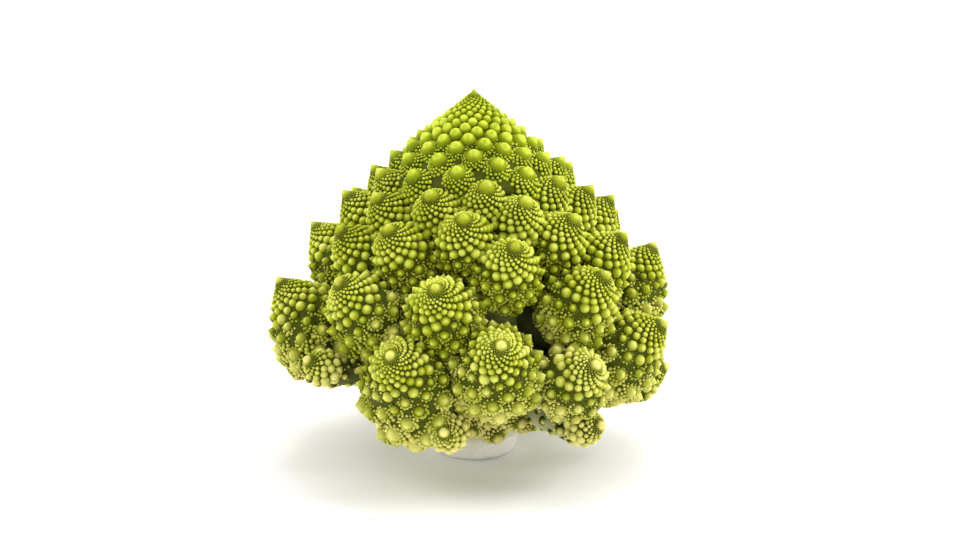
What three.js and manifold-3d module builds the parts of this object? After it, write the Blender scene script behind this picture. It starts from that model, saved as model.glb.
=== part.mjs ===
// A romanesco head as cut for the market: a pale stalk with a flat butt, the stubs of its cut-off leaves,
// and florets set round it in a golden-angle spiral, from the pointed crown down to the broad basal ones.
// Millimetres, +Z up. The origin is the centre of the butt, which stands on the surface.
import * as THREE from "three";
import { mergeVertices } from "three/addons/utils/BufferGeometryUtils.js";
import Module from "manifold-3d";

const wasm = await Module();
wasm.setup();

// Driving dimensions of the whole head.
const HEAD_HEIGHT = 149;
const FLANK_ANGLE = 52.7; // between the head's axis and its flank near the tip, in degrees
const WIDEST_ALONG = 126; // way down the flank from the tip to the widest ring
const FLANK_ROUNDING = 4.1; // how late the straight flank begins to curve in
const UNDERSIDE_TURN = 0.95; // degrees that the flank turns in for each millimetre below the widest ring
const CLEARANCE = 0.3; // gap between pieces that touch
const FINEST_DETAIL = 0.1; // anything smaller is smoothed away

// The spiral. A floret's order counts from the youngest one that stands clear of the crown.
const GOLDEN_ANGLE = 137.508;
const FIRST_BEARING = 8; // of floret 0, in degrees from the front, positive towards +X
const FLORET_COUNT = 52;
const FIRST_ALONG = 47.4;
const GROWTH = 0.0207; // share by which each floret lies further down than the one before
const QUICKENING = 0.000106; // how much that share itself grows with each floret
const SLOWING_ORDER = 38; // from here on the basal florets follow at one even step
const BASAL_STEP = 3.6;
const YOUNGEST_ORDER = -29; // the youngest floret that shows as a bump of its own on the crown

// The right flank spread sideways as it filled out.
const SPREAD = { turn: 14, bearing: 50, width: 32, from: 82, to: 98 };

// Florets that their neighbours pushed out of the even spiral, by order: the extra bearing and the extra rise
// of the axis in degrees, the extra way down the flank, and how much bigger than its even size one grew.
const EVEN = { bearing: 0, rise: 0, along: 0, size: 1 };
const UNEVEN = {
  23: { ...EVEN, bearing: 8, along: -3 },
  26: { ...EVEN, bearing: 5, along: 7 },
  28: { ...EVEN, bearing: -7 },
  31: { ...EVEN, bearing: 3.5, along: -2.5 },
  32: { ...EVEN, bearing: 5, along: -4.5, rise: 16 },
  34: { ...EVEN, bearing: 2.5, along: 7.5 },
  36: { ...EVEN, along: -6, rise: 14 },
  37: { ...EVEN, bearing: -3, along: 3.5 },
  39: { ...EVEN, bearing: 6.5, along: -3.5, size: 1.36 },
  42: { ...EVEN, bearing: 4.5, along: -8, size: 1.1 },
  44: { ...EVEN, bearing: 9.5, along: -12, size: 0.65 },
  49: { ...EVEN, along: -10, size: 0.7 },
  50: { ...EVEN, bearing: -14, along: -6, size: 1.2 },
};

// Florets and their branches.
const FLORET_HALF_ANGLE = 45;
const FLORET_FILL = 0.6; // a young floret's radius as a share of its spacing
const FULL_GROWN = { from: 13, to: 30, loss: 0.09 }; // orders over which florets part, and what they lose
const STUNTED = { from: 34, to: 50, loss: 0.34 }; // the lowest ones stayed small in the leaves' shade
const FLORET_SEGMENTS = 9;
const YOUNG_SEGMENTS = 6;
const LOWEST_REACH = 1.2; // no floret hangs lower than this above the surface
const UPTURN = { crown: 54, fall: 48, power: 3.2, length: 168.5 }; // how steeply a floret rises, in degrees
const BRANCH = { topHeight: 92, bottomHeight: 18, slimmest: 3, foot: 0.3, head: 0.6 }; // shares of the radius

// The stalk, as radius and height up its side, and the leaf stubs round its foot.
const STALK = [
  [0, 0], [15.5, 0], [17, 1.6], [18, 8], [19, 16], [18.5, 30], [16, 55], [11, 85], [7.5, 105.7], [0, 105.7],
];
const STALK_SEGMENTS = 20;
const LEAF_STUBS = 5;
const STUB_SEGMENTS = 12;
const LEAF_STUB = { height: 7.5, rise: 1.1, width: 17, depth: 9.5, reach: 23, bearing: -4, step: 144 };

// The core of the crown, as radius and height, from its underside up to the flank; its tip is the head's.
const CROWN_CORE = [
  [0, 106], [8, 106], [26, 114.5], [28, 119], [20, 133.4],
];
const CROWN_SEGMENTS = 24;

const radians = THREE.MathUtils.degToRad;
const Z_AXIS = new THREE.Vector3(0, 0, 1);

// Solids: three.js makes the shapes, manifold-3d joins and cuts them.

function solidOf(geometry) {
  const bare = new THREE.BufferGeometry().setAttribute("position", geometry.getAttribute("position"));
  if (geometry.index) bare.setIndex(geometry.index);
  const merged = mergeVertices(bare, 1e-4);
  return new wasm.Manifold(
    new wasm.Mesh({
      numProp: 3,
      vertProperties: merged.getAttribute("position").array,
      triVerts: new Uint32Array(merged.index.array),
    }),
  );
}

function geometryOf(solid) {
  const { vertProperties, triVerts } = solid.getMesh();
  const geometry = new THREE.BufferGeometry();
  geometry.setAttribute("position", new THREE.BufferAttribute(new Float32Array(vertProperties), 3));
  geometry.setIndex(new THREE.BufferAttribute(new Uint32Array(triVerts), 1));
  geometry.computeVertexNormals();
  return geometry;
}

// A turned shape about the line from `base` along `axis`. Its profile is [radius, distance along the axis].
function turned(profile, segments, base, axis) {
  const points = profile.map(([radius, along]) => new THREE.Vector2(radius, along));
  const geometry = new THREE.LatheGeometry(points, segments);
  geometry.rotateX(Math.PI / 2); // LatheGeometry turns about +Y
  geometry.applyQuaternion(new THREE.Quaternion().setFromUnitVectors(Z_AXIS, axis));
  geometry.translate(base.x, base.y, base.z);
  return solidOf(geometry);
}

// The head's outline at a way down the flank, walked from the tip in small steps: radius, height and slope.
function flankAt(along) {
  const step = 0.25;
  let radius = 0;
  let height = HEAD_HEIGHT;
  let slope = FLANK_ANGLE;
  for (let walked = 0; walked < along; walked += step) {
    slope =
      walked < WIDEST_ALONG
        ? FLANK_ANGLE * (1 - (walked / WIDEST_ALONG) ** FLANK_ROUNDING)
        : -UNDERSIDE_TURN * (walked - WIDEST_ALONG);
    radius += step * Math.sin(radians(slope));
    height -= step * Math.cos(radians(slope));
  }
  return { radius, height, slope };
}

// How far down the flank the floret of this order has its tip.
function alongOf(order) {
  const early = Math.min(order, SLOWING_ORDER);
  const late = Math.max(order - SLOWING_ORDER, 0);
  return FIRST_ALONG * Math.exp(GROWTH * early + QUICKENING * early ** 2) + BASAL_STEP * late;
}

// Its bearing round the axis, in degrees from the front.
function bearingOf(order) {
  const turn = (FIRST_BEARING + GOLDEN_ANGLE * order) % 360;
  const bearing = turn > 180 ? turn - 360 : turn;
  const fullness = THREE.MathUtils.smoothstep(alongOf(order), SPREAD.from, SPREAD.to);
  const nearness = Math.exp(-(((bearing - SPREAD.bearing) / SPREAD.width) ** 2));
  return bearing + SPREAD.turn * fullness * nearness;
}

// A unit vector at a bearing from the front (-Y towards +X) and an elevation, both in degrees.
function direction(bearing, elevation) {
  const level = Math.cos(radians(elevation));
  return new THREE.Vector3(
    level * Math.sin(radians(bearing)),
    -level * Math.cos(radians(bearing)),
    Math.sin(radians(elevation)),
  );
}

// Everything that places one floret: tip, axis, radius, depth, and the foot of its branch in the stalk.
function floretPlan(order) {
  const push = UNEVEN[order] ?? EVEN;
  const along = alongOf(order) + push.along;
  const { radius, height } = flankAt(along);
  const bearing = bearingOf(order) + push.bearing;
  const tip = direction(bearing, 0).multiplyScalar(radius).setZ(height);
  const elevation = UPTURN.crown - UPTURN.fall * (along / UPTURN.length) ** UPTURN.power + push.rise;
  const axis = direction(bearing, elevation);
  const spacing = Math.sqrt(2 * Math.PI * radius * (alongOf(order + 0.5) - alongOf(order - 0.5)));
  const age = (along - alongOf(0)) / (alongOf(FLORET_COUNT - 1) - alongOf(0));
  const lost = (stage) => stage.loss * THREE.MathUtils.smoothstep(order, stage.from, stage.to);
  const foot = new THREE.Vector3(0, 0, THREE.MathUtils.lerp(BRANCH.topHeight, BRANCH.bottomHeight, age));
  const size = (FLORET_FILL - lost(FULL_GROWN) - lost(STUNTED)) * spacing * push.size;
  return { order, tip, axis, foot, radius: size, depth: size / Math.tan(radians(FLORET_HALF_ANGLE)) };
}

// The pointed head of a floret before it is fitted to its neighbours: a slightly full cone, round underneath.
function floretHead({ order, tip, axis, radius, depth }) {
  const underside = order < 0 ? [] : [[0.76 * radius, -depth - 0.5 * radius]];
  const profile = [
    [0, -depth - 0.65 * radius],
    ...underside,
    [0.98 * radius, -depth - 0.04 * radius],
    [0.9 * radius, -depth * 0.8],
    [0, 0],
  ];
  return turned(profile, order < 0 ? YOUNG_SEGMENTS : FLORET_SEGMENTS, tip, axis);
}

// Its branch, which tapers from under the head to the stalk.
function floretBranch({ tip, axis, foot, radius, depth }) {
  const run = tip.clone().addScaledVector(axis, -depth).sub(foot);
  const profile = [
    [0, 0],
    [Math.max(BRANCH.foot * radius, BRANCH.slimmest), 0],
    [BRANCH.head * radius, run.length()],
    [0, run.length()],
  ];
  return turned(profile, FLORET_SEGMENTS, foot, run.clone().normalize());
}

// The plane that parts two neighbours: it holds their mean outward line and shares the room by their sizes.
function partingPlane(one, other) {
  const outward = one.tip.clone().sub(one.foot).normalize();
  outward.add(other.tip.clone().sub(other.foot).normalize()).normalize();
  const across = other.tip.clone().sub(one.tip);
  const share = one.radius / (one.radius + other.radius);
  const middle = one.tip.clone().addScaledVector(across, share);
  const normal = across.clone().addScaledVector(outward, -across.dot(outward)).normalize();
  return { normal, offset: normal.dot(middle) };
}

// Cuts every two neighbours apart, except two young ones, which are both part of the crown.
function partNeighbours(plans, solids) {
  const loose = solids.slice();
  const gap = CLEARANCE / 2;
  plans.forEach((one, i) => {
    for (let j = i + 1; j < plans.length; j += 1) {
      if (plans[j].order < 0 || loose[i].intersect(loose[j]).isEmpty()) continue;
      const { normal, offset } = partingPlane(one, plans[j]);
      const towards = normal.toArray();
      const back = normal.clone().negate().toArray();
      solids[i] = solids[i].trimByPlane(back, -offset + gap);
      solids[j] = solids[j].trimByPlane(towards, offset + gap);
    }
  });
}

// The core that carries the crown's young florets. `grown` widens it to cut its seat.
function crownCore(grown) {
  const profile = CROWN_CORE.map(([radius, height]) => [
    radius + (radius > 0 ? grown : 0),
    height - (height < 110 ? grown : 0),
  ]);
  return turned([...profile, [0, HEAD_HEIGHT + grown]], CROWN_SEGMENTS, new THREE.Vector3(), Z_AXIS);
}

function stalkSolid(grown) {
  const profile = STALK.map(([radius, height]) => [
    radius + (radius > 0 ? grown : 0),
    height + (height > 100 ? grown : 0) - (height < 1 ? grown : 0),
  ]);
  return turned(profile, STALK_SEGMENTS, new THREE.Vector3(), Z_AXIS);
}

// A cut leaf base: a flattened, rounded wedge that springs from the stalk's foot and ends in a flat cut.
function leafStub(index, grown) {
  const bearing = LEAF_STUB.bearing + LEAF_STUB.step * index;
  const outward = direction(bearing, 12);
  const base = new THREE.Vector3(0, 0, LEAF_STUB.height + LEAF_STUB.rise * index);
  const half = LEAF_STUB.width / 2 + grown;
  const reach = LEAF_STUB.reach + grown;
  const profile = [
    [0, 0],
    [half, 0],
    [half, 0.72 * reach],
    [0.88 * half, 0.9 * reach],
    [0.62 * half, reach],
    [0, reach],
  ];
  const flat = (LEAF_STUB.depth / 2 + grown) / half;
  const geometry = new THREE.LatheGeometry(
    profile.map(([radius, along]) => new THREE.Vector2(radius, along)),
    STUB_SEGMENTS,
  );
  geometry.rotateX(Math.PI / 2);
  geometry.scale(flat, 1, 1);
  const upward = direction(bearing, 102);
  const sideways = new THREE.Vector3().crossVectors(outward, upward);
  geometry.applyMatrix4(new THREE.Matrix4().makeBasis(upward, sideways, outward));
  geometry.translate(base.x, base.y, base.z);
  return solidOf(geometry);
}

// Assembly.

const head = new THREE.Group();

function addPiece(name, solid, material) {
  const mesh = new THREE.Mesh(geometryOf(solid.simplify(FINEST_DETAIL)), material);
  mesh.name = name;
  head.add(mesh);
}

const floretGreen = new THREE.MeshStandardMaterial({ color: 0xa3b52a, roughness: 0.55, metalness: 0 });
const crownGreen = new THREE.MeshStandardMaterial({ color: 0x93a81f, roughness: 0.55, metalness: 0 });
const stalkCream = new THREE.MeshStandardMaterial({ color: 0xe4e0c8, roughness: 0.5, metalness: 0 });
const stubCream = new THREE.MeshStandardMaterial({ color: 0xdcdfb8, roughness: 0.5, metalness: 0 });

const stalkSeat = stalkSolid(CLEARANCE);
const stubs = Array.from({ length: LEAF_STUBS }, (_, index) => leafStub(index, 0).subtract(stalkSeat));
const stubSeats = Array.from({ length: LEAF_STUBS }, (_, index) => leafStub(index, CLEARANCE));
const seats = stubSeats.reduce((joined, seat) => joined.add(seat), stalkSeat.add(crownCore(CLEARANCE)));

const plans = [];
for (let order = YOUNGEST_ORDER; order < FLORET_COUNT; order += 1) plans.push(floretPlan(order));
const solids = plans.map((plan) => {
  const cone = floretHead(plan);
  return plan.order < 0 ? cone : cone.add(floretBranch(plan));
});
partNeighbours(plans, solids);
const young = solids.filter((_, index) => plans[index].order < 0);
const crown = young.reduce((joined, floret) => joined.add(floret), crownCore(0));

addPiece("stalk", stalkSolid(0), stalkCream);
addPiece("crown", crown, crownGreen);
stubs.forEach((solid, index) => addPiece(`leaf_stub_${index + 1}`, solid, stubCream));
plans.forEach(({ order }, index) => {
  if (order < 0) return;
  const seated = solids[index].subtract(seats).trimByPlane([0, 0, 1], LOWEST_REACH);
  addPiece(`floret_${String(order + 1).padStart(2, "0")}`, seated, floretGreen);
});

export default head;
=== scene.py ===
# %% [markdown]
# # A head of romanesco, bud by bud
#
# A romanesco head is a spiral of spirals. Florets stand round its stalk a golden angle apart, each floret
# is a cone that carries buds in the same spiral, and the oldest of those buds carry bumps of their own.
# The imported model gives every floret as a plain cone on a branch. This lesson measures those cones and
# grows the buds on them, so no bud is placed by hand.

# %% Load the frame
import math

import bpy
import numpy as np
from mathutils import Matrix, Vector


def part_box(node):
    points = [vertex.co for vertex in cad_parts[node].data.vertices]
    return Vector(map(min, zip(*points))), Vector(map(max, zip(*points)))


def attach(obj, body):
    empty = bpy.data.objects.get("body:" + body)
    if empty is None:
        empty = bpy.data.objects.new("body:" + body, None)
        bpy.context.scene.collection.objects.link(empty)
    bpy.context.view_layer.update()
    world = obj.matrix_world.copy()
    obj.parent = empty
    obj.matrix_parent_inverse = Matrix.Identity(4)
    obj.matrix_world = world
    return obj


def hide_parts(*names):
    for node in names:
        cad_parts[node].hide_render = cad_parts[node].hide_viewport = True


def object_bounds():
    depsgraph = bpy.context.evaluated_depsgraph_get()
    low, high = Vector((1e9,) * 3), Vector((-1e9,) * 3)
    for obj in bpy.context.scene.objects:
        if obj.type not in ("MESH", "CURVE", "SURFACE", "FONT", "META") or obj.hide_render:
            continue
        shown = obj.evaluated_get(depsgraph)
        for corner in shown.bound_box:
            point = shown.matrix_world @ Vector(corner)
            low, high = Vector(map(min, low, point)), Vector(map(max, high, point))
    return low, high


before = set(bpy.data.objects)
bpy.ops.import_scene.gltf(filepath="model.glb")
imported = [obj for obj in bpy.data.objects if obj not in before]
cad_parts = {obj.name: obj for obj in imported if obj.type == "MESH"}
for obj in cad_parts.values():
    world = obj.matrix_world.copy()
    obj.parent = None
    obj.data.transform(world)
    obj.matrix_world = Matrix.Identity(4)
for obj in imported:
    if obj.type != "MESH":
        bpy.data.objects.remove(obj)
cad_low, cad_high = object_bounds()
print("frame:", len(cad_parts), "nodes,", np.round(1000 * (cad_high - cad_low), 1), "mm")

# %% [markdown]
# ## Closed shells from a profile
#
# Almost everything on this vegetable is round about some line: buds, cones, branches and the stalk.
# Such a shape could be spun with the Screw modifier, but there are thousands of them, so each kind is
# worked out once as a grid of rings and segments, and then copied as whole arrays.

# %% A turned shell, and a mesh made of many
GOLDEN_ANGLE = math.radians(137.508)
Z_UP = np.array([0.0, 0.0, 1.0])


def unit(vectors):
    """Each vector divided by its own length."""
    return vectors / np.linalg.norm(vectors, axis=-1, keepdims=True)


def shell_faces(rings, segments):
    """The faces of a closed shell whose points are a first pole, rings of points and a last pole.

    Quad i of ring j joins points i and i + 1 of the ring to those of the next one. Fans close the poles.
    """
    ring = 1 + segments * np.arange(rings)[:, None]
    here = np.arange(segments)[None, :]
    following = (here + 1) % segments
    corners = (ring[:-1] + here, ring[:-1] + following, ring[1:] + following, ring[1:] + here)
    quads = np.stack(corners, axis=-1).reshape(-1, 4)
    last = 1 + segments * rings
    first_fan = np.stack((np.zeros_like(here), 1 + following, 1 + here), axis=-1).reshape(-1, 3)
    end = last - segments
    last_fan = np.stack((np.full_like(here, last), end + here, end + following), axis=-1).reshape(-1, 3)
    return quads, np.concatenate((first_fan, last_fan))


def turned(radius, height, segments):
    """A shell turned about +Z: (radius cos a, radius sin a, height) on rings, with a pole at each end.

    The profile runs from the lower pole to the upper one, and its two end radii are taken as zero.
    """
    angle = 2 * math.pi * np.arange(segments) / segments
    r, a = np.meshgrid(radius[1:-1], angle, indexing="ij")
    h = np.broadcast_to(height[1:-1, None], r.shape)
    middle = np.stack((r * np.cos(a), r * np.sin(a), h), axis=-1).reshape(-1, 3)
    return np.concatenate(([[0, 0, height[0]]], middle, [[0, 0, height[-1]]]))


def tint_rows(rise, age, chance, stem):
    """Tints from their four parts, each one number or a row of numbers."""
    return np.stack(np.broadcast_arrays(rise, age, chance, stem), axis=-1)


class Growth:
    """Collects shells and their per-point tints, and turns them into one mesh."""

    def __init__(self):
        self.points, self.tints, self.quads, self.fans, self.count = [], [], [], [], 0

    def add(self, points, quads, fans, tints):
        """Adds one shell, or a stack of copies of it whose points have the shape (copies, points, 3)."""
        stack = points.reshape((-1,) + points.shape[-2:])
        copies, size = stack.shape[:2]
        starts = self.count + size * np.arange(copies)[:, None, None]
        self.points.append(stack.reshape(-1, 3))
        self.tints.append(np.broadcast_to(tints, stack.shape[:2] + (4,)).reshape(-1, 4))
        self.quads.append((starts + quads).reshape(-1, 4))
        self.fans.append((starts + fans).reshape(-1, 3))
        self.count += copies * size

    def mesh(self, name):
        """A smooth mesh in metres of everything added so far, with its tints as a colour attribute."""
        points = np.concatenate(self.points).astype(np.float32)
        quads, fans = np.concatenate(self.quads), np.concatenate(self.fans)
        corners = np.concatenate((quads.ravel(), fans.ravel())).astype(np.int32)
        sizes = np.concatenate((np.full(len(quads), 4), np.full(len(fans), 3)))
        starts = np.concatenate(([0], np.cumsum(sizes)[:-1])).astype(np.int32)
        mesh = bpy.data.meshes.new(name)
        mesh.vertices.add(len(points))
        mesh.vertices.foreach_set("co", points.ravel())
        mesh.loops.add(len(corners))
        mesh.loops.foreach_set("vertex_index", corners)
        mesh.polygons.add(len(sizes))
        mesh.polygons.foreach_set("loop_start", starts)
        mesh.polygons.foreach_set("use_smooth", np.ones(len(sizes), bool))
        mesh.update(calc_edges=True)
        tint = mesh.attributes.new("tint", "FLOAT_COLOR", "POINT")
        tint.data.foreach_set("color", np.concatenate(self.tints).astype(np.float32).ravel())
        mesh.validate()
        return mesh


def faces_of(mesh):
    """How many triangles a mesh comes to."""
    mesh.calc_loop_triangles()
    return len(mesh.loop_triangles)


# %% [markdown]
# ## Bud shapes
#
# A young bud is a smooth ball. As it grows it draws out to a blunt point. Both are one profile, a circle
# whose upper half is stretched towards a cone, so a single number, `point`, says how far a bud has come.
# Thousands of buds share a few shells with only a few dozen faces each.

# %% Bud profile
BUD_LOW = math.radians(128)  # how far round from its tip a bud's side is made before its hidden pole


def bud_profile(point, rings):
    """Radius sin t and height cos t, with the upper half's height drawn towards 1.12 (1 - sin t)^0.85.

    t runs from the hidden side, past the equator, to the tip. The bud's equator has radius 1 and height 0.
    """
    t = np.linspace(BUD_LOW, 0.0, rings + 1)
    radius = np.sin(t)
    cone = np.where(t < math.pi / 2, 1.12 * (1 - radius) ** 0.85, np.cos(t))
    height = (1 - point) * np.cos(t) + point * cone
    radius = np.concatenate(([0.0], radius[:-1], [0.0]))
    height = np.concatenate(([height[0] * 1.15], height[:-1], [height[-1]]))
    return radius, height


def bud_shell(point, rings, segments):
    """Points, quads, fans and the rise of each point, from 0 in the crease to 1 at the tip."""
    radius, height = bud_profile(point, rings)
    points = turned(radius, height, segments)
    quads, fans = shell_faces(len(radius) - 2, segments)
    rise = (points[:, 2] - points[:, 2].min()) / np.ptp(points[:, 2])
    return points, quads, fans, rise


# %% [markdown]
# ## The spiral law
#
# Buds appear at the tip, one golden angle after another, and are carried down the flank as they swell.
# If each lies a share `g` further from the tip than the one before it, neighbours stand
# sqrt(2 pi r u g) apart, where u is the way down the flank and r the radius there. That one law gives
# every bud its place and its size, on the head and on each floret alike. Near the base growth is quicker.

# %% Flank of a cone that rounds in at its shoulder
FLANK_STEPS = 240


def flank(half_angle, power, turn_in, end):
    """Radius, depth and slope along a flank of unit length to its widest ring, and on to `end`.

    The slope from the axis is half_angle (1 - u^power) down to the widest ring, and then turns in evenly.
    Radius and depth are its sine and cosine, summed up along the way.
    """
    u = np.linspace(0.0, end, FLANK_STEPS)
    slope = np.where(u < 1, half_angle * (1 - np.minimum(u, 1) ** power), -turn_in * (u - 1))
    step = np.diff(u, prepend=0.0)
    return u, np.cumsum(np.sin(slope) * step), np.cumsum(np.cos(slope) * step), slope


def spiral(start, end, slow, quick):
    """Ways down the flank of successive buds, from `end` inwards to `start`, with their growth shares.

    The share goes from `slow` up to u = 0.15 to `quick` from u = 0.9, by the smooth step b^2 (3 - 2b).
    """
    ways, shares, u = [], [], end
    while u > start:
        blend = min(max((u - 0.15) / 0.75, 0.0), 1.0)
        share = slow + (quick - slow) * blend * blend * (3 - 2 * blend)
        ways.append(u)
        shares.append(share)
        u *= math.exp(-share)
    return np.array(ways), np.array(shares)


# %% [markdown]
# ## Measuring the florets
#
# Each floret node is a cone with a point. The faces that meet at the point all lean alike from the cone's
# axis, so the direction that has the same angle to all of their normals is the axis, whatever has been cut
# away further down. The corners nearest the point give the cone's size.

# %% Tip, axis and radius of every floret node
CONE_RING_RADIUS = 0.9  # of the cone's radius, at the ring of corners next to the tip
SAME_SPOT = 2e-5
TIP_RAISED = 0.35  # a floret's tip lies furthest out in a direction that rises by this much
TIP_CANDIDATES = 12
SPREAD_COST = 40  # how many fitting faces one unit more of spread in their lean outweighs
FOOT_REACH = 0.004  # corners this close to the innermost one belong to the branch's foot


def common_axis(normals):
    """The direction that all the normals lean away from equally, ignoring any that don't fit.

    It solves normals . axis = 1 by least squares and drops what lies far off, three times over.
    """
    for _ in range(3):
        axis = unit(np.linalg.lstsq(normals, np.ones(len(normals)), rcond=None)[0])
        lean = normals @ axis
        miss = np.abs(lean - np.median(lean))
        normals = normals[miss < max(0.04, np.median(miss) * 2)]
    return axis, len(normals), np.ptp(normals @ axis)


def measure_cone(name):
    """Tip, axis and radius of a floret's cone, and the foot of its branch, in metres."""
    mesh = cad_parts[name].data
    mesh.calc_loop_triangles()
    co = np.array([v.co for v in mesh.vertices])
    triangles = co[np.array([t.vertices for t in mesh.loop_triangles])]
    corners = triangles.reshape(-1, 3)
    outermost = unit(unit(np.array([*co.mean(0)[:2], 0.0])) + Z_UP * TIP_RAISED)
    spots = np.unique(np.round(corners, 6), axis=0)
    spots = spots[np.argsort(-(spots @ outermost))[:TIP_CANDIDATES]]
    best = None
    for spot in spots:
        fan = triangles[(np.linalg.norm(triangles - spot, axis=2) < SAME_SPOT).any(axis=1)]
        normals = unit(np.cross(fan[:, 1] - fan[:, 0], fan[:, 2] - fan[:, 0]))
        axis, fitting, spread = common_axis(np.unique(np.round(normals, 3), axis=0))
        fit = fitting - SPREAD_COST * spread
        if best is None or fit > best["fit"]:
            rims = fan.reshape(-1, 3) - spot
            across = np.linalg.norm(rims - np.outer(rims @ axis, axis), axis=1)
            best = {"fit": fit, "tip": spot, "axis": axis, "radius": across.max() / CONE_RING_RADIUS}
    reach = np.linalg.norm(corners[:, :2], axis=1)
    return {**best, "name": name, "foot": corners[reach < reach.min() + FOOT_REACH].mean(0)}


floret_names = sorted(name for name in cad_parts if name.startswith("floret_"))
florets = [measure_cone(name) for name in floret_names]
print("florets:", len(florets), "radii from", round(1000 * florets[0]["radius"], 1), "to",
      round(1000 * max(plan["radius"] for plan in florets), 1), "mm")

# %% [markdown]
# ## Growing one floret
#
# A floret is a branch that swells into a cone, with buds in the spiral all over the cone. The biggest buds
# are small cones themselves and carry bumps. So one pattern, worked out on a cone of radius 1, serves for
# both: it is turned, scaled and copied onto a stack of cones at once. The finest buds round a tip are left
# out, because the skin there is smooth as far as the eye can tell, most of all on a young floret.

# %% The flank of a cone of radius 1, and the pattern of buds on it
SMOOTH_SPACING = (0.0009, 0.0006)  # the spacing under which no buds show, on a young floret and an old one
BUD_FILL = 0.5  # a bud's radius as a share of its distance to its neighbours
UPTURN = 0.7  # how far a bud at the shoulder leans from the skin's normal towards the cone's own tip
SHAKE = 0.09  # how unevenly the buds lean
SIZE_RANGE = (0.88, 1.1)  # how much a bud's size varies
SHOULDER_TURN = 1.9  # how fast a flank turns in below its widest ring, in radians for each flank length
PATTERN_START = 0.06  # the way down at which a pattern begins
rng = np.random.default_rng(52)


def cone_profile(age):
    """Flank of a cone of radius 1. Young ones are domes, and old ones are pointed with full shoulders.

    `age` is 0 for the youngest floret that stands free, 1 for the oldest, and below 0 on the crown. With
    age the half angle, the flank's rounding and the end of the flank change in proportion.
    """
    young, old = max(-age, 0.0), max(age, 0.0)
    half_angle = math.radians(48 - 2 * old + 12 * young)
    rounding = 2.3 + 2.0 * old - 1.0 * young
    u, r, d, slope = flank(half_angle, rounding, SHOULDER_TURN, 1.1 + 0.55 * old)
    length = 1 / r.max()
    return {"u": u * length, "r": r * length, "d": d * length, "slope": slope, "length": length}


def bud_pattern(profile, slow, quick, end):
    """Tip, axis, spacing and way down the flank of every bud on a cone of radius 1 with its tip at 0.

    Bud n stands at n golden angles round the axis, and neighbours lie sqrt(2 pi r u g) apart. A bud
    leans from the skin's normal towards the cone's own tip by UPTURN u^3.6. The buds stop at `end` times
    the way to the widest ring.
    """
    ways, shares = spiral(PATTERN_START, end, slow, quick)
    way = ways * profile["length"]
    r, d, slope = (np.interp(way, profile["u"], profile[key])[:, None] for key in ("r", "d", "slope"))
    angle = GOLDEN_ANGLE * np.arange(len(ways))
    radial = np.stack((np.cos(angle), np.sin(angle), np.zeros_like(angle)), axis=1)
    normals = radial * np.cos(slope) + Z_UP * np.sin(slope)
    lean = UPTURN * np.minimum(ways, 1)[:, None] ** 3.6
    spacing = np.sqrt(2 * math.pi * r[:, 0] * way * shares)
    return {
        "spots": radial * r - Z_UP * d,
        "axes": unit(normals + lean * Z_UP),
        "spacing": spacing,
        "ways": ways,
    }


def frames_for(axes):
    """For each axis three rows, two of them square to it and turned at random, and the axis itself.

    The first is the axis crossed with its own numbers moved along by one plus 0.3, which never lines up.
    """
    e1 = unit(np.cross(axes, np.roll(axes, 1, axis=1) + 0.3))
    e2 = np.cross(axes, e1)
    roll = rng.uniform(0, 2 * math.pi, (len(axes), 1))
    e1, e2 = np.cos(roll) * e1 + np.sin(roll) * e2, np.cos(roll) * e2 - np.sin(roll) * e1
    return np.stack((e1, e2, axes), axis=1)


def lay_out(pattern, tips, axes, radii, smallest):
    """The pattern on each of a stack of cones: every bud's tip, axis, radius, way down, and its cone.

    Buds whose spacing comes out under `smallest` are dropped.
    """
    frames = frames_for(axes)
    spots = tips[:, None, :] + np.einsum("pk,bkc->bpc", pattern["spots"], frames) * radii[:, None, None]
    leans = np.einsum("pk,bkc->bpc", pattern["axes"], frames)
    spacing = pattern["spacing"] * radii[:, None]
    keep = spacing > smallest
    leans = unit(leans[keep] + rng.normal(0, SHAKE, (int(keep.sum()), 3)))
    sizes = BUD_FILL * spacing[keep] * rng.uniform(*SIZE_RANGE, len(leans))
    owner, place = np.nonzero(keep)
    ways = pattern["ways"][place]
    return {"spots": spots[keep], "axes": leans, "sizes": sizes, "ways": ways, "cone": owner}


# %% Buds by size
SHELLS = {  # smallest radius in metres: (how pointed, rings, segments)
    0.0: (0.10, 1, 5),
    0.0006: (0.15, 2, 6),
    0.0012: (0.30, 3, 8),
    0.0018: (0.45, 4, 11),
}


def add_shells(growth, spots, axes, sizes, tints, point_more=0.0):
    """Adds a bud at each spot, the spot being its tip, in the shell that suits its size.

    A bud's points are its centre plus the shell's points times its size, turned so that +Z is its axis.
    """
    limits = sorted(SHELLS)
    for low, high in zip(limits, limits[1:] + [1.0]):
        chosen = (sizes >= low) & (sizes < high)
        if not chosen.any():
            continue
        point, rings, segments = SHELLS[low]
        shell = bud_shell(min(point + point_more, 1.0), rings, segments)
        tip_height = shell[0][-1, 2]
        centres = spots[chosen] - axes[chosen] * sizes[chosen, None] * tip_height
        add_copies(growth, shell, centres, axes[chosen], sizes[chosen], tints[chosen])


def add_copies(growth, shell, places, axes, sizes, tints):
    """Adds a copy of one shell at each place, turned so that +Z is its axis, in its size."""
    points, quads, fans, rise = shell
    placed = places[:, None, :] + np.einsum("pk,bkc->bpc", points, frames_for(axes)) * sizes[:, None, None]
    tint = np.repeat(tints[:, None, :], len(points), axis=1)
    tint[:, :, 0] = rise
    growth.add(placed, quads, fans, tint)


# %% Which buds can be seen
HEAD_MIDDLE = np.array([0, 0, 0.06])
FLOOR_GAP = 0.0012
TURNED_AWAY = -0.15  # a bud whose axis points this far back towards the middle is never seen


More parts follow.
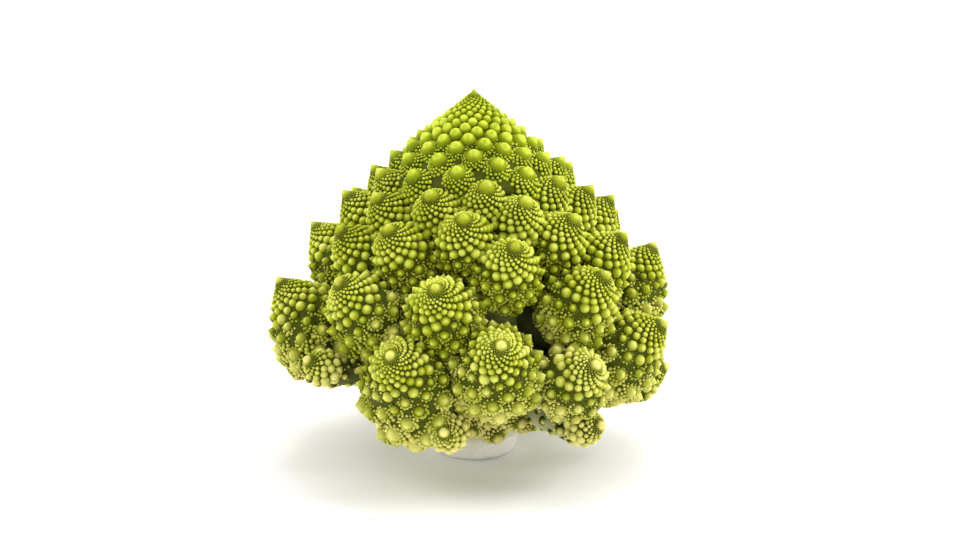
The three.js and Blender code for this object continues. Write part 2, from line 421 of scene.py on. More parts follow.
def showing(buds):
    """The buds of a layout that stay above the floor and face outwards, and how far outwards they face."""
    outward = np.einsum("bc,bc->b", buds["axes"], unit(buds["spots"] - HEAD_MIDDLE))
    keep = (outward > TURNED_AWAY) & (buds["spots"][:, 2] - buds["sizes"] > FLOOR_GAP)
    return {key: values[keep] for key, values in buds.items()}, outward[keep]


# %% Big buds, which are cones with bumps of their own
BUMPY_FROM = 0.0024  # the smallest bud that shows bumps
SMALLEST_BUMP = 0.00105
BUMP_POINT = 0.2  # how much more pointed a bump is than a bud of its size
CONE_SEGMENTS = 9
CONE_RINGS = 6
CONE_CREASE = 0.13  # how far the cone's skin lies under its bumps, for each unit of way down
bump_profile = cone_profile(-0.5)
bump_pattern = bud_pattern(bump_profile, slow=0.014, quick=0.032, end=1.02)


def sunken_flank(profile, crease, ways):
    """Radius and depth at given ways down, pushed in along the normal by `crease` times the way."""
    r, d, slope = (np.interp(ways, profile["u"], profile[key]) for key in ("r", "d", "slope"))
    inset = crease * ways
    return np.maximum(r - np.cos(slope) * inset, 0.0), d + np.sin(slope) * inset


def add_bumpy(growth, spots, axes, sizes, tints, smallest=SMALLEST_BUMP):
    """Adds a small cone for each big bud, and bumps on all of them by the same spiral law."""
    ways = np.linspace(0, 1, CONE_RINGS + 1) ** 1.2 * 1.1 * bump_profile["length"]
    radius, depth = sunken_flank(bump_profile, CONE_CREASE, ways)
    radius = np.concatenate(([0], radius[::-1]))
    height = -np.concatenate(([depth[-1] + 0.3], depth[::-1]))
    points = turned(radius, height, CONE_SEGMENTS)
    rise = np.clip(1 + points[:, 2] / 0.75, 0, 1)
    shell = (points, *shell_faces(len(radius) - 2, CONE_SEGMENTS), rise)
    add_copies(growth, shell, spots, axes, sizes, tints)
    bumps, _ = showing(lay_out(bump_pattern, spots, axes, sizes, smallest))
    add_shells(growth, bumps["spots"], bumps["axes"], bumps["sizes"], tints[bumps["cone"]], BUMP_POINT)


# %% [markdown]
# ## The skin under the buds
#
# A tube carried along a line is what the Curve bevel does, but here its radius has to follow the cone
# exactly, less the depth of the buds, so it is computed in the same way as everything else.

# %% Branch and cone as one skin
SKIN_SEGMENTS = 18
SKIN_RINGS = 24
BRANCH_STEPS = 9
SMOOTH_TIP = 4.6  # the way down to the first buds, in spacings of those buds
TIP_RISE = 0.84  # how far the bare tip has gone from the painted crease shade to the tip colour, which is partly a painted highlight
SHADED_ABOVE = 0.045  # the height above which branches are painted in the dark crease shade
SHADE_FADE = 0.02  # how far below that the painted shade fades out to the pale branch colour


def axes_about(axis, up):
    """Two directions square to `axis` and to each other. The first leans towards `up`."""
    across = unit(np.cross(axis, up))
    return unit(np.cross(across, axis)), across


def branch_line(foot, base, axis, t):
    """Points on the bent line from a branch's foot to its cone's base.

    They are (1-t)^2 foot + 2t(1-t) bend + t^2 base, with the bend on the cone's axis, behind its base.
    """
    t = t[:, None]
    bend = base - axis * np.linalg.norm(base - foot) * 0.4
    return (1 - t) ** 2 * foot + 2 * t * (1 - t) * bend + t ** 2 * base


def tube(line, across, side):
    """Points round a line at the distances `across`, square to its tangent. The line's ends are the poles.

    On each ring they are (cos a) e1 + (sin a) e2, where e1 is the tangent crossed with `side`, and e2
    is square to both e1 and the tangent.
    """
    tangent = unit(np.gradient(line, axis=0))
    e1 = unit(np.cross(tangent, side))[1:-1, None]
    e2 = np.cross(tangent[1:-1, None], e1)
    angle = (2 * math.pi * np.arange(SKIN_SEGMENTS) / SKIN_SEGMENTS)[None, :, None]
    body = line[1:-1, None] + (np.cos(angle) * e1 + np.sin(angle) * e2) * across[1:-1, None, None]
    return np.concatenate((line[:1], body.reshape(-1, 3), line[-1:]))


def add_skin(growth, profile, tip, axis, foot, radius, age, crease, smooth):
    """A closed tube from the branch's foot to the cone's tip, with no buds as far down as `smooth`.

    Its middle line is a curve from the foot that comes in along the cone's axis, and then that axis. The
    branch's radius is 0.3 to 0.66 of the cone's, and goes over to 0.9 of the skin's own by the cube of t.
    """
    end = min(1.3, profile["u"][-1] / profile["length"])
    ways = np.linspace(0, 1, SKIN_RINGS) ** 1.4 * end * profile["length"]
    sunk = crease * np.clip(ways * radius / smooth - 0.5, 0, 1)
    cone_radius, cone_depth = sunken_flank(profile, sunk, ways)
    cone_radius, cone_depth = cone_radius[::-1] * radius, cone_depth[::-1] * radius
    base = tip - axis * cone_depth[0]
    t = np.linspace(0, 1, BRANCH_STEPS, endpoint=False)
    branch_radius = radius * (0.3 + 0.36 * t) * (1 - t ** 3) + cone_radius[0] * 0.9 * t ** 3
    line = np.concatenate((branch_line(foot, base, axis, t), tip - axis * cone_depth[:, None]))
    across = np.concatenate((branch_radius, cone_radius))
    along = unit(base - foot)
    side, _ = axes_about(along, np.cross(along, Z_UP))
    near_tip = np.clip(1.5 - ways[::-1] * radius / smooth, 0, 1)
    rise = np.concatenate((np.zeros(len(t)), TIP_RISE * near_tip))
    # Branches high inside the head keep little stem colour and take the dark crease colour: painted shade
    out_of_shade = np.clip((SHADED_ABOVE - line[:len(t), 2]) / SHADE_FADE, 0.2, 1)
    stem = np.concatenate((np.clip(1.15 - 0.9 * t, 0, 1) * out_of_shade, np.zeros(len(ways))))
    tints = tint_rows(rise, age, 0.5, stem)
    tints = np.concatenate((tints[:1], np.repeat(tints[1:-1], SKIN_SEGMENTS, axis=0), tints[-1:]))
    growth.add(tube(line, across, side), *shell_faces(len(line) - 2, SKIN_SEGMENTS), tints)


# %% Side shoots on the branches of old florets
SHOOTS_FROM = 0.4  # the age at which a branch begins to show shoots
SHOOTS = 20  # on the oldest branch
SMALLEST_SHOOT = 0.0021


def add_side_shoots(growth, tip, axis, foot, radius, age):
    """Small cones all round the branch, a golden angle apart, bigger towards the floret's own cone.

    Shoot n springs from the branch's line at t = 0.3 + 0.72 (n + 1/2) / count. They fill the hollow under
    the lowest florets, and growing in the shade of the leaves has left them creamy.
    """
    n = np.arange(round(SHOOTS * age))
    t = 0.3 + 0.72 * (n + 0.5) / len(n)
    base = tip - axis * 1.5 * radius
    line = branch_line(foot, base, axis, t)
    along = unit(base - foot)
    e1, e2 = axes_about(along, Z_UP + 0.01)
    angle = GOLDEN_ANGLE * n + rng.uniform(0, 2 * math.pi)
    radial = np.outer(np.cos(angle), e1) + np.outer(np.sin(angle), e2)
    sizes = (SMALLEST_SHOOT + radius * 0.12 * t) * rng.uniform(0.9, 1.15, len(n))
    spots = line + radial * (radius * (0.27 + 0.36 * t ** 2) + 0.9 * sizes)[:, None]
    axes = unit(radial + along * 0.7)
    shoots, _ = showing({"spots": spots, "axes": axes, "sizes": sizes})
    tints = tint_rows(0, 1, rng.uniform(0, 1, len(shoots["sizes"])), 0)
    add_bumpy(growth, shoots["spots"], shoots["axes"], shoots["sizes"], tints, 1.3 * SMALLEST_BUMP)


# %% A whole floret
TIP_GROWTH = 0.0105  # the share g near a floret's tip
SHOULDER_GROWTH = (0.0125, 0.0145)  # g at its shoulder when it is young, and what age adds to that
BUMPY_FULLER = 1.22  # how much bigger a bud grows than its even size when it has bumps
FACING = 0.12  # a bud that faces outwards less than this is hidden, and gets no bumps


def ripened(young, old, share):
    """A value `share` of the way from a young floret's to an old one's, and no further."""
    return young + (old - young) * min(share, 1)


def grow_floret(growth, tip, axis, radius, foot, age, bare=False):
    """One floret: its skin, its buds, the bumps on its biggest buds, and side shoots unless it is `bare`."""
    old = max(age, 0.0)
    profile = cone_profile(age)
    shoulder_growth = SHOULDER_GROWTH[0] + SHOULDER_GROWTH[1] * old
    pattern = bud_pattern(profile, TIP_GROWTH, shoulder_growth, profile["u"][-1] / profile["length"])
    smallest = ripened(*SMOOTH_SPACING, 2 * old)
    buds, outward = showing(lay_out(pattern, tip[None], axis[None], np.array([radius]), smallest))
    spots, axes, sizes = buds["spots"], buds["axes"], buds["sizes"]
    ripe = np.clip(old * (0.55 + 0.45 * buds["ways"]), 0, 1)
    tints = tint_rows(0, ripe, rng.uniform(0, 1, len(sizes)), 0)
    bumpy = (sizes > BUMPY_FROM) & (outward > FACING)
    add_shells(growth, spots[~bumpy], axes[~bumpy], sizes[~bumpy], tints[~bumpy], 0.3 * old)
    if bumpy.any():
        add_bumpy(growth, spots[bumpy], axes[bumpy], sizes[bumpy] * BUMPY_FULLER, tints[bumpy])
    if age > SHOOTS_FROM and not bare:
        add_side_shoots(growth, tip, axis, foot, radius, age)
    crease = 1.25 * BUD_FILL * math.sqrt(2 * math.pi * 0.7 * TIP_GROWTH)  # a bud's depth per way down
    add_skin(growth, profile, tip, axis, foot, radius, age, crease, SMOOTH_TIP * smallest)


def new_piece(name, growth, material, slot, *nodes):
    """Makes the object for a finished growth with its material, hangs it under the root body and hides the
    imported nodes it replaces.
    """
    piece = bpy.data.objects.new(name, growth.mesh(name))
    bpy.context.scene.collection.objects.link(piece)
    piece.data.materials.append(material)
    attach(piece, "root")
    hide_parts(*nodes)
    return piece


# %% [markdown]
# ## Finishes
#
# The green of a bud depends on where on it you look: pale and yellowish at its tip, brightened there by a
# painted highlight, and deep green in the crease beside it, a painted shade. Old florets turn creamy, low
# branches are nearly white, and branches high inside the head are painted in the crease shade. This could be
# painted by hand, but the shapes already know it, so the meshes carry it as one colour attribute: red is the
# rise from crease to tip, green the age, blue a number drawn for each bud, and alpha the share of stem, or
# of green skin on the stubs and of painted dark olive shade on the stalk and its heart. The node group
# ripeness_and_painted_light turns that into a colour, and the node group mottle makes every finish a little
# uneven.

# %% Small helpers for shader nodes
def new_group(name, inputs, outputs):
    """A shader node group with only its sockets. Returns the group, its input node and its output node."""
    group = bpy.data.node_groups.new(name, "ShaderNodeTree")
    for kind, label, value in inputs:
        socket = group.interface.new_socket(label, in_out="INPUT", socket_type=kind)
        if value is not None:
            socket.default_value = value
    for kind, label in outputs:
        group.interface.new_socket(label, in_out="OUTPUT", socket_type=kind)
    return group, group.nodes.new("NodeGroupInput"), group.nodes.new("NodeGroupOutput")


def math_node(tree, operation, *values):
    """A Math node whose inputs are sockets or numbers. Returns its output."""
    node = tree.nodes.new("ShaderNodeMath")
    node.operation = operation
    for socket, value in zip(node.inputs, values):
        if isinstance(value, bpy.types.NodeSocket):
            tree.links.new(value, socket)
        else:
            socket.default_value = value
    return node.outputs[0]


def mix_colour(tree, share, first, second):
    """A Mix node for colours: `share` of the way from `first` to `second`, each a socket or a colour."""
    node = tree.nodes.new("ShaderNodeMix")
    node.data_type = "RGBA"
    for socket, value in zip((node.inputs[0], node.inputs[6], node.inputs[7]), (share, first, second)):
        if isinstance(value, bpy.types.NodeSocket):
            tree.links.new(value, socket)
        else:
            socket.default_value = value
    return node.outputs[2]


def ramp(tree, value, low, high):
    """A smooth step of `value` from 0 at `low` to 1 at `high`."""
    node = tree.nodes.new("ShaderNodeMapRange")
    node.interpolation_type = "SMOOTHSTEP"
    tree.links.new(value, node.inputs["Value"])
    node.inputs["From Min"].default_value = low
    node.inputs["From Max"].default_value = high
    return node.outputs["Result"]


# %% Group: mottle, a soft two-scale unevenness on Object coordinates
mottle, mottle_in, mottle_out = new_group(
    "mottle",
    [("NodeSocketFloat", "Scale", 60.0), ("NodeSocketFloat", "Fine share", 0.4)],
    [("NodeSocketFloat", "Mottle"), ("NodeSocketFloat", "Grain")],
)
place = mottle.nodes.new("ShaderNodeTexCoord").outputs["Object"]
broad, fine = mottle.nodes.new("ShaderNodeTexNoise"), mottle.nodes.new("ShaderNodeTexNoise")
for texture, finer in ((broad, 1.0), (fine, 14.0)):
    scale = math_node(mottle, "MULTIPLY", mottle_in.outputs["Scale"], finer)
    mottle.links.new(scale, texture.inputs["Scale"])
    mottle.links.new(place, texture.inputs["Vector"])
    texture.inputs["Detail"].default_value = 3.0
blend = mottle.nodes.new("ShaderNodeMix")
mottle.links.new(mottle_in.outputs["Fine share"], blend.inputs[0])
mottle.links.new(broad.outputs["Fac"], blend.inputs[2])
mottle.links.new(fine.outputs["Fac"], blend.inputs[3])
mottle.links.new(blend.outputs[0], mottle_out.inputs["Mottle"])
mottle.links.new(fine.outputs["Fac"], mottle_out.inputs["Grain"])

# %% Group: ripeness and painted light, from the tint attribute to the colour of a bud, with painted shade in its creases and a painted highlight on its tip
ripeness_and_painted_light, ripeness_and_light_in, ripeness_and_light_out = new_group(
    "ripeness_and_painted_light",
    [
        ("NodeSocketColor", "Tint", None),
        ("NodeSocketFloat", "Stem", 0.0),
        ("NodeSocketFloat", "Mottle", 0.5),
        # CreaseShade is painted shade: a dark green for the creases and gaps where shade falls
        ("NodeSocketColor", "CreaseShade", (0.062, 0.075, 0.003, 1)),
        ("NodeSocketColor", "Flank", (0.32, 0.36, 0.009, 1)),
        # Tip is the pale colour of a bud's tip, brightened further as a painted highlight
        ("NodeSocketColor", "Tip", (0.64, 0.69, 0.110, 1)),
        ("NodeSocketColor", "Cream", (0.82, 0.74, 0.24, 1)),
        ("NodeSocketColor", "Branch", (0.72, 0.74, 0.42, 1)),
    ],
    [("NodeSocketColor", "Colour")],
)
parts = ripeness_and_painted_light.nodes.new("ShaderNodeSeparateColor")
ripeness_and_painted_light.links.new(ripeness_and_light_in.outputs["Tint"], parts.inputs[0])
rise, age, chance = parts.outputs[0], parts.outputs[1], parts.outputs[2]
own = math_node(ripeness_and_painted_light, "MULTIPLY_ADD", chance, 0.16, -0.08)
patchy = math_node(ripeness_and_painted_light, "SUBTRACT", ripeness_and_light_in.outputs["Mottle"], 0.5)
drift = math_node(ripeness_and_painted_light, "MULTIPLY_ADD", patchy, 0.9, own)
height = math_node(ripeness_and_painted_light, "ADD", rise, drift)
on_flank = ramp(ripeness_and_painted_light, height, 0.08, 0.66)
on_tip_highlight = ramp(ripeness_and_painted_light, height, 0.60, 1.02)
late = ramp(ripeness_and_painted_light, math_node(ripeness_and_painted_light, "ADD", age, drift), 0.42, 1.05)
creamy = math_node(ripeness_and_painted_light, "MULTIPLY", late, ramp(ripeness_and_painted_light, height, 0.2, 0.8))
# From the painted crease shade, through the flank, to the tip, which is partly a painted highlight, then on
# to cream and branch colour
colour = ripeness_and_light_in.outputs["CreaseShade"]
for share, label in ((on_flank, "Flank"), (on_tip_highlight, "Tip"), (creamy, "Cream"),
                     (ripeness_and_light_in.outputs["Stem"], "Branch")):
    colour = mix_colour(ripeness_and_painted_light, share, colour, ripeness_and_light_in.outputs[label])
ripeness_and_painted_light.links.new(colour, ripeness_and_light_out.inputs["Colour"])


# %% The finishes
def add_group(tree, group, **values):
    """A group node with its unlinked inputs set to `values`, where a space is written as _."""
    node = tree.nodes.new("ShaderNodeGroup")
    node.node_tree = group
    for label, value in values.items():
        node.inputs[label.replace("_", " ")].default_value = value
    return node


def new_material(name, roughness, subsurface):
    """A material with its Principled shader's plain numbers set. Returns it, its tree and the shader."""
    material = bpy.data.materials.new(name)
    material.use_nodes = True
    shader = material.node_tree.nodes["Principled BSDF"]
    shader.inputs["Roughness"].default_value = roughness
    shader.inputs["Subsurface Weight"].default_value = subsurface
    shader.inputs["Subsurface Scale"].default_value = 0.0016
    shader.inputs["Subsurface Radius"].default_value = (1.0, 0.9, 0.2)
    shader.inputs["Specular IOR Level"].default_value = 0.07
    return material, material.node_tree, shader


def add_bump(tree, shader, height, distance, strength):
    """Feeds `height` through a Bump node into the shader's normal."""
    bump = tree.nodes.new("ShaderNodeBump")
    bump.inputs["Distance"].default_value = distance
    bump.inputs["Strength"].default_value = strength
    tree.links.new(height, bump.inputs["Height"])
    tree.links.new(bump.outputs["Normal"], shader.inputs["Normal"])


def bud_finish(name, **colours):
    """A finish for buds: mottle and the tint attribute go through ripeness_and_painted_light into the
    colour, with painted crease shade and a partly painted tip highlight.
    """
    material, tree, shader = new_material(name, 0.5, 0.12)
    tint = tree.nodes.new("ShaderNodeAttribute")
    tint.attribute_name = "tint"
    uneven = add_group(tree, mottle, Scale=45.0, Fine_share=0.35)
    ripe = add_group(tree, ripeness_and_painted_light, **colours)
    tree.links.new(tint.outputs["Color"], ripe.inputs["Tint"])
    tree.links.new(tint.outputs["Alpha"], ripe.inputs["Stem"])
    tree.links.new(uneven.outputs["Mottle"], ripe.inputs["Mottle"])
    tree.links.new(ripe.outputs["Colour"], shader.inputs["Base Color"])
    add_bump(tree, shader, uneven.outputs["Grain"], 0.0003, 0.5)
    return material


def flesh_finish(name, pale, shaded, green_skin_and_shade):
    """A finish for cut stems: mottled pale flesh, mixed by the tint's alpha towards a third colour: greener
    on the skin than on the cut faces of the stubs, and a painted dark olive shade on the upper stalk and its
    heart.
    """
    material, tree, shader = new_material(name, 0.42, 0.2)
    uneven = add_group(tree, mottle, Scale=70.0, Fine_share=0.5)
    colour = mix_colour(tree, ramp(tree, uneven.outputs["Mottle"], 0.35, 0.65), shaded, pale)
    tint = tree.nodes.new("ShaderNodeAttribute")
    tint.attribute_name = "tint"
    colour = mix_colour(tree, tint.outputs["Alpha"], colour, green_skin_and_shade)
    tree.links.new(colour, shader.inputs["Base Color"])
    add_bump(tree, shader, uneven.outputs["Grain"], 0.0006, 0.5)
    return material


bud_skin = bud_finish("bud_skin")
# The crown's tip colour is likewise partly a painted highlight
crown_skin = bud_finish("crown_skin", Flank=(0.25, 0.31, 0.004, 1), Tip=(0.60, 0.68, 0.060, 1))
# On the stalk the third colour is painted shade: a dark olive where the upper stalk and the heart show
# between florets
stalk_flesh = flesh_finish(
    "stalk_flesh", pale=(0.94, 0.92, 0.86, 1), shaded=(0.84, 0.79, 0.69, 1), green_skin_and_shade=(0.42, 0.47, 0.13, 1)
)
stub_flesh = flesh_finish(
    "stub_flesh", pale=(0.86, 0.85, 0.76, 1), shaded=(0.78, 0.76, 0.62, 1), green_skin_and_shade=(0.76, 0.78, 0.56, 1)
)
print("finishes:", len(bpy.data.materials), "from", len(bpy.data.node_groups), "node groups")

# %% [markdown]
# ## The free florets
#
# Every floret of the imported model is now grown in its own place. One floret could be instanced instead,
# but no two have the same age and size, so each one is grown afresh, the youngest first.

# %% All the florets
FULLER = (1.2, 1.02)  # a young floret swells over its neighbours, and an old one hardly does
total = 0
for order, plan in enumerate(florets):
    growth = Growth()
    age = order / (len(florets) - 1)
    radius = ripened(*FULLER, 2.5 * age) * plan["radius"]
    grow_floret(growth, plan["tip"], plan["axis"], radius, plan["foot"], age)
    piece = new_piece("buds_" + plan["name"], growth, bud_skin, "floret", plan["name"])
    total += faces_of(piece.data)
print("florets come to", total, "triangles")

# %% [markdown]
# ## The crown
#
# The same spiral goes on inwards from the first free floret to the tip of the head. The florets there
# are domes at first and then plain balls, each smaller than the one before it. They have no nodes of their
# own to be measured on, so the first two free florets and the head's flank give all their places.

# %% The head's own flank
HEAD_LENGTH = 0.126  # the way from the head's tip to its widest ring
SPIRE = 0.3  # how much narrower the head is at its very tip than its even outline
SPIRE_LENGTH = 0.010
head_profile = dict(zip(("u", "r", "d", "slope"), flank(math.radians(52.7), 4.1, 2.09, 1.0)))
head_way, head_radius, head_depth = (head_profile[key] * HEAD_LENGTH for key in ("u", "r", "d"))
apex = np.array([0, 0, cad_high[2]])


def along_flank(tip):
    """The way down the head's flank to a floret's tip, from its distance to the axis."""
    return np.interp(np.hypot(tip[0], tip[1]), head_radius, head_way)


def drawn_in(radius, down):
    """The radius near the head's tip, drawn in to a spire: radius (1 - SPIRE e^(-down / SPIRE_LENGTH))."""
    return radius * (1 - SPIRE * np.exp(-down / SPIRE_LENGTH))


# %% Where the crown's florets and buds stand
STEADY_GROWTH = 0.0118  # the share g at the tip of the head
STEADY_FROM = 42  # how many florets above the first free one it is reached
CROWN_COUNT = 245  # enough for the last buds to be too small to show
CROWN_FILL = 0.68  # a crown floret's radius as a share of its spacing
first, second = florets[0]["tip"], florets[1]["tip"]
start_way = along_flank(first)
start_share = math.log(along_flank(second) / start_way)
n = np.arange(1, CROWN_COUNT)
shares = STEADY_GROWTH + (start_share - STEADY_GROWTH) * np.clip(1 - n / STEADY_FROM, 0, 1)
way = start_way * np.exp(-np.cumsum(shares))
bearing = math.atan2(first[0], -first[1]) - GOLDEN_ANGLE * n
outline = (head_radius, head_depth, head_profile["slope"])
r, d, slope = (np.interp(way, head_way, values) for values in outline)
r = drawn_in(r, way)
radial = np.stack((np.sin(bearing), -np.cos(bearing), np.zeros_like(bearing)), axis=1)
spots = apex + radial * r[:, None] - Z_UP * d[:, None]
axes = unit(radial * np.cos(slope)[:, None] + Z_UP * np.sin(slope)[:, None])
radii = CROWN_FILL * np.sqrt(2 * math.pi * r * way * shares)
print("crown:", len(radii), "places, the biggest", round(2000 * radii.max(), 1), "mm across")

# %% Young florets, then single buds, up to the tip of the head
SMALLEST_FLORET = 0.0029  # under this radius a floret is still a single bud
SMALLEST_BUD = 0.00045
SINGLE_SHARE = 0.85  # of the radius, for a single bud
BRANCH_REACH = 2.6  # how many radii a crown floret's branch reaches in
crown_florets, crown_buds = Growth(), Growth()
parted = radii > SMALLEST_FLORET
for i in np.flatnonzero(parted):
    foot = spots[i] - axes[i] * BRANCH_REACH * radii[i]
    grow_floret(crown_florets, spots[i], axes[i], radii[i], foot, -min((i + 1) / STEADY_FROM, 1.0))
single = ~parted & (radii > SMALLEST_BUD)
tints = tint_rows(0, 0, rng.uniform(0, 1, len(radii)), 0)
add_shells(crown_buds, spots[single], axes[single], SINGLE_SHARE * radii[single], tints[single])

# %% The crown's core, which closes the gaps between them
CORE_SUNK = 0.165  # how far it lies under the flank, for each unit of way down
CORE_END = 1.05  # how far down it reaches, in ways down to the first free floret
CORE_SEGMENTS = 40
core_ways = head_profile["u"][::6]
core_ways = core_ways[core_ways * HEAD_LENGTH < CORE_END * start_way]
core_radius, core_depth = sunken_flank(head_profile, CORE_SUNK, core_ways)
core_radius = drawn_in(core_radius * HEAD_LENGTH, core_ways * HEAD_LENGTH)
core_height = apex[2] - core_depth * HEAD_LENGTH
core_radius = np.concatenate(([0, 0.5 * core_radius[-1]], core_radius[::-1]))
core_height = np.concatenate(([core_height[-1] - 0.012, core_height[-1] - 0.010], core_height[::-1]))
core_points = turned(core_radius, core_height, CORE_SEGMENTS)
# Below its last 4 mm the core keeps the dark crease colour: painted shade where it shows through gaps
# between the buds
core_rise = np.clip(1 - (apex[2] - core_points[:, 2]) / 0.004, 0, 1)  # only the last 4 mm are tip-coloured
core_tints = tint_rows(core_rise, 0, 0.5, 0)
crown_buds.add(core_points, *shell_faces(len(core_radius) - 2, CORE_SEGMENTS), core_tints)
crown_low = new_piece("crown_florets", crown_florets, crown_skin, "crown", "crown")
crown_top = new_piece("crown_tip", crown_buds, crown_skin, "crown", "crown")
print("crown:", int(parted.sum()), "young florets,", int(single.sum()), "single buds,",
      faces_of(crown_low.data), "+", faces_of(crown_top.data), "triangles")

# %% [markdown]
# ## The last florets of the spiral
#
# Under the lowest free florets the spiral ends in some that stayed no bigger than a cherry. They sit close
# to the stalk on hardly any branch. They are the creamiest of all, because the leaves were wrapped round
# them to the end.

# %% Small florets round the top of the stalk
BASAL_COUNT = 26
lowest = florets[-1]["tip"]
n = np.arange(1, BASAL_COUNT + 1)
share = n / BASAL_COUNT
bearing = math.atan2(lowest[0], -lowest[1]) + GOLDEN_ANGLE * n
level = np.stack((np.sin(bearing), -np.cos(bearing), np.zeros_like(bearing)), axis=1)
from_axis = 0.045 - 0.013 * share
height = 0.027 - 0.015 * share
radii = 0.0094 - 0.0026 * share
tips = level * from_axis[:, None] + Z_UP * height[:, None]
axes = unit(level - Z_UP * (0.2 + 0.2 * share)[:, None])
basal = Growth()
for i in range(BASAL_COUNT):
    foot = level[i] * 0.010 + Z_UP * (height[i] + 0.012)
    grow_floret(basal, tips[i], axes[i], radii[i], foot, 1.0, bare=True)
basal_florets = new_piece("basal_florets", basal, bud_skin, "floret", "stalk")
print("basal florets:", BASAL_COUNT, "of them,", faces_of(basal_florets.data), "triangles")

# %% [markdown]
# ## The stalk
#
# The stalk was cut straight across at its foot. Its side still shows the low ridges that ran down from
# each leaf, and finer fibres between them. A displaced cylinder would do, but here the radius is read from
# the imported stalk, ring by ring, so that the finished one fits it.

# %% The stalk
RIDGES = 5
RIDGE_HEIGHT = 0.035  # as a share of the radius
FIBRES = 17
FIBRE_HEIGHT = 0.012
STALK_STEPS = 60
STALK_SEGMENTS = 72
SLIMMER = 0.97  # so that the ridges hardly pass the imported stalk's side
stalk_low, stalk_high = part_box("stalk")
stalk_co = np.array([v.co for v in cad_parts["stalk"].data.vertices])
stalk_reach = np.hypot(stalk_co[:, 0], stalk_co[:, 1])


def stalk_radius(height):
    """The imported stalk's radius at each height, from its own corners."""
    rings = np.unique(np.round(stalk_co[:, 2], 5))
    widest = np.array([stalk_reach[np.abs(stalk_co[:, 2] - ring) < 1e-4].max() for ring in rings])
    return np.interp(height, rings, widest)


growth = Growth()
height = np.linspace(stalk_low[2], stalk_high[2], STALK_STEPS)
radius = stalk_radius(height)
radius = np.concatenate(([0], radius, [0]))
height = np.concatenate(([0], height, [stalk_high[2]]))
points = turned(radius, height, STALK_SEGMENTS)
angle = np.arctan2(points[:, 1], points[:, 0])
off_foot = np.clip(points[:, 2] / 0.004, 0, 1)
ridge = 1 + RIDGE_HEIGHT * np.cos(RIDGES * angle + 40 * points[:, 2]) * off_foot
ridge += FIBRE_HEIGHT * np.sin(FIBRES * angle + 3 * np.sin(90 * points[:, 2])) * off_foot
points[:, :2] *= (ridge * SLIMMER)[:, None]
# Up the stalk the flesh is mixed towards dark olive, painted shade where it shows inside the head
green_skin_and_shade = np.clip((points[:, 2] - 0.02) / 0.05, 0, 0.8)
growth.add(points, *shell_faces(STALK_STEPS, STALK_SEGMENTS), tint_rows(0.5, 0, 0.5, green_skin_and_shade))

# %% [markdown]
# ## The heart of the head
#
# Higher up the thick feet of the branches run together round the stalk into one heart, whose dark olive
# colour is painted shade.
# Nobody sees more of it than a dark spot between two florets, so a single lumpy shell stands for all of
# them.

# %% The heart
HEART_LOW, HEART_HIGH = 0.034, 0.098
HEART_RADIUS = 0.033
HEART_RINGS = 16
HEART_SEGMENTS = 54
LUMPS = 9
LUMP_HEIGHT = 0.08
share = np.linspace(0, 1, HEART_RINGS + 2)
heart_radius = HEART_RADIUS * np.sin(math.pi * share ** 1.2) ** 0.6
heart_height = HEART_LOW + (HEART_HIGH - HEART_LOW) * share
points = turned(heart_radius, heart_height, HEART_SEGMENTS)
angle = np.arctan2(points[:, 1], points[:, 0])
points[:, :2] *= (1 + LUMP_HEIGHT * np.sin(LUMPS * angle + 300 * points[:, 2]))[:, None]
# The heart takes the dark olive painted shade in full
growth.add(points, *shell_faces(HEART_RINGS, HEART_SEGMENTS), tint_rows(0.5, 0, 0.5, 1.0))
stalk = new_piece("stalk_body", growth, stalk_flesh, "stalk", "stalk")
print("stalk and heart:", faces_of(stalk.data), "triangles")

# %% [markdown]
# ## Leaf stubs
#
# The leaves were cut close to the stalk, and a flattened, ribbed stub of each is left. A scaled cube with
# a Bevel modifier comes near it, but rings that are drawn in towards the cut round its rim off evenly.

# %% The five stubs
STUB_SEGMENTS = 40
STUB_RIM = 0.28  # share of a stub's half-depth that is rounded off at the cut
# Ring by ring, from inside the stalk to the middle of the cut: the place along the stub in half-lengths,
# the further way along in rims, and how far the ring is drawn in.
STUB_LENGTHS = np.array([-2.0, -1.7, -1.0, -0.3, 0.3, 0.7, 1.0, 1.0, 1.0, 1.0])
STUB_ROUNDING = np.array([0, 0, 0, 0, 0, 0, 0.35, 0.8, 1.0, 0.95])
STUB_INSETS = np.array([0.4, 0.12, 0.02, 0, 0, 0.02, 0.1, 0.24, 0.42, 0.9])


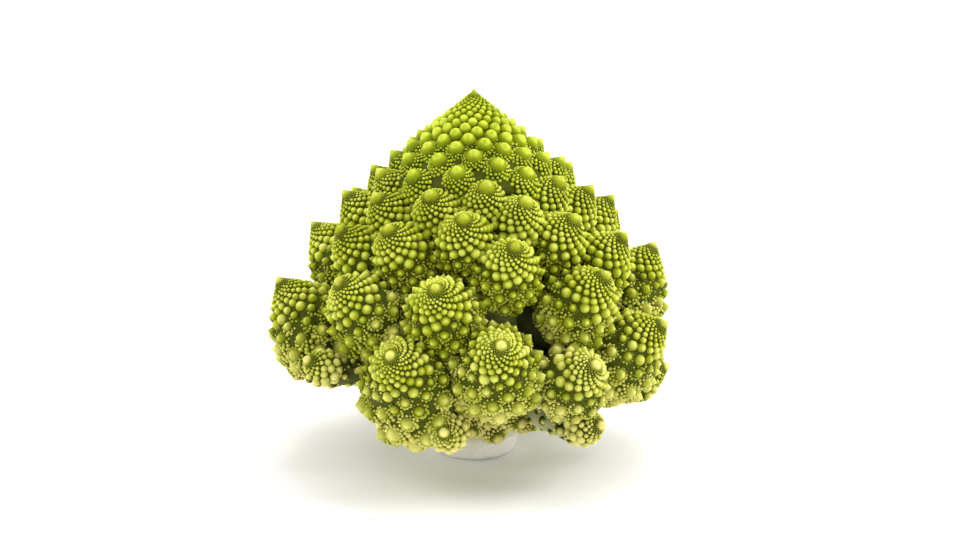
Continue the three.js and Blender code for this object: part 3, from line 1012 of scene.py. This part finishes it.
def grow_leaf_stub(node):
    """A flattened lobe with rounded edges, from inside the stalk to the cut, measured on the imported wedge.

    Its cross-section is a superellipse, (|cos a|^0.8, |sin a|^0.8) with signs, and low ribs run along it.
    """
    co = np.array([v.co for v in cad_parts[node].data.vertices])
    level = unit(np.array([*co[:, :2].mean(0), 0.0]))
    reach = co @ level
    near, far = np.median(reach) - 0.002, np.median(reach) + 0.002
    out = unit(co[reach > far].mean(0) - co[reach < near].mean(0))
    across = unit(np.cross(Z_UP, out))
    up = np.cross(out, across)
    local = co @ np.stack((across, up, out), axis=1)
    middle = (local.max(0) + local.min(0)) / 2
    half = (local.max(0) - local.min(0)) / 2
    rim = STUB_RIM * half[1]
    length = half[2] * STUB_LENGTHS + rim * (STUB_ROUNDING - 0.7)
    angle = 2 * math.pi * np.arange(STUB_SEGMENTS) / STUB_SEGMENTS
    ribs = 1 + 0.03 * np.cos(9 * angle)
    wide, deep = (np.sign(wave) * np.abs(wave) ** 0.8 * ribs for wave in (np.cos(angle), np.sin(angle)))
    ring = np.stack(
        (
            np.outer(1 - STUB_INSETS * 0.62, wide * half[0]),
            np.outer(1 - STUB_INSETS, deep * half[1]),
            np.repeat(length[:, None], STUB_SEGMENTS, axis=1),
        ),
        axis=-1,
    )
    poles = np.array([[0, 0, length[0] - 0.001], [0, 0, length[-1] - 0.0005]])
    points = np.concatenate((poles[:1], ring.reshape(-1, 3), poles[1:])) + middle
    skin = np.repeat(np.clip(1.0 - STUB_INSETS * 3, 0, 1) * 0.5, STUB_SEGMENTS)
    tints = tint_rows(0.5, 0, 0.5, np.concatenate(([0], skin, [0])))
    growth = Growth()
    growth.add(points @ np.stack((across, up, out)), *shell_faces(len(length), STUB_SEGMENTS), tints)
    return new_piece("cut_" + node, growth, stub_flesh, "leaf_stub", node)


stubs = [grow_leaf_stub("leaf_stub_" + str(index)) for index in range(1, 6)]
print("leaf stubs:", len(stubs), "of", faces_of(stubs[0].data), "triangles")

# %% [markdown]
# ## Camera, floor and light
#
# A long lens a little above the head keeps its proportions true. The floor and the world are nearly white,
# and three big soft lamps leave only pale shadows, as on a table in a bright studio.

# %% Camera, floor, light
VIEW_HEIGHT = math.radians(15)
target = Vector((0.0024, 0, 0.0751))
camera = bpy.data.objects.new("camera", bpy.data.cameras.new("camera"))
camera.data.lens = 93.75
camera.location = target + Vector((0, -math.cos(VIEW_HEIGHT), math.sin(VIEW_HEIGHT)))
camera.rotation_euler = (math.pi / 2 - VIEW_HEIGHT, 0, 0)
bpy.context.scene.collection.objects.link(camera)
bpy.context.scene.camera = camera

floor_mesh = bpy.data.meshes.new("floor")
floor_mesh.from_pydata([(-6, -6, 0), (6, -6, 0), (6, 6, 0), (-6, 6, 0)], [], [(0, 1, 2, 3)])
floor = bpy.data.objects.new("floor", floor_mesh)
floor_white = bpy.data.materials.new("floor_white")
floor_white.use_nodes = True
floor_white.node_tree.nodes["Principled BSDF"].inputs["Base Color"].default_value = (0.9, 0.9, 0.9, 1)
floor.data.materials.append(floor_white)
bpy.context.scene.collection.objects.link(floor)

world = bpy.data.worlds.new("studio")
world.use_nodes = True
world.node_tree.nodes["Background"].inputs["Color"].default_value = (1, 1, 1, 1)
world.node_tree.nodes["Background"].inputs["Strength"].default_value = 1.0
bpy.context.scene.world = world
bpy.context.scene.view_settings.view_transform = "Standard"


def soft_light(name, place, power, size):
    """A square area light that faces the middle of the head."""
    lamp = bpy.data.objects.new(name, bpy.data.lights.new(name, "AREA"))
    lamp.data.energy = power
    lamp.data.size = size
    lamp.location = place
    lamp.rotation_euler = (Vector((0, 0, 0.07)) - Vector(place)).to_track_quat("-Z", "Y").to_euler()
    bpy.context.scene.collection.objects.link(lamp)


soft_light("right", (1.2, 0.0, 0.9), 15, 0.8)
soft_light("left", (-1.2, 0.1, 0.8), 8.5, 0.8)
soft_light("top", (0.1, 0.4, 1.4), 8.5, 0.9)
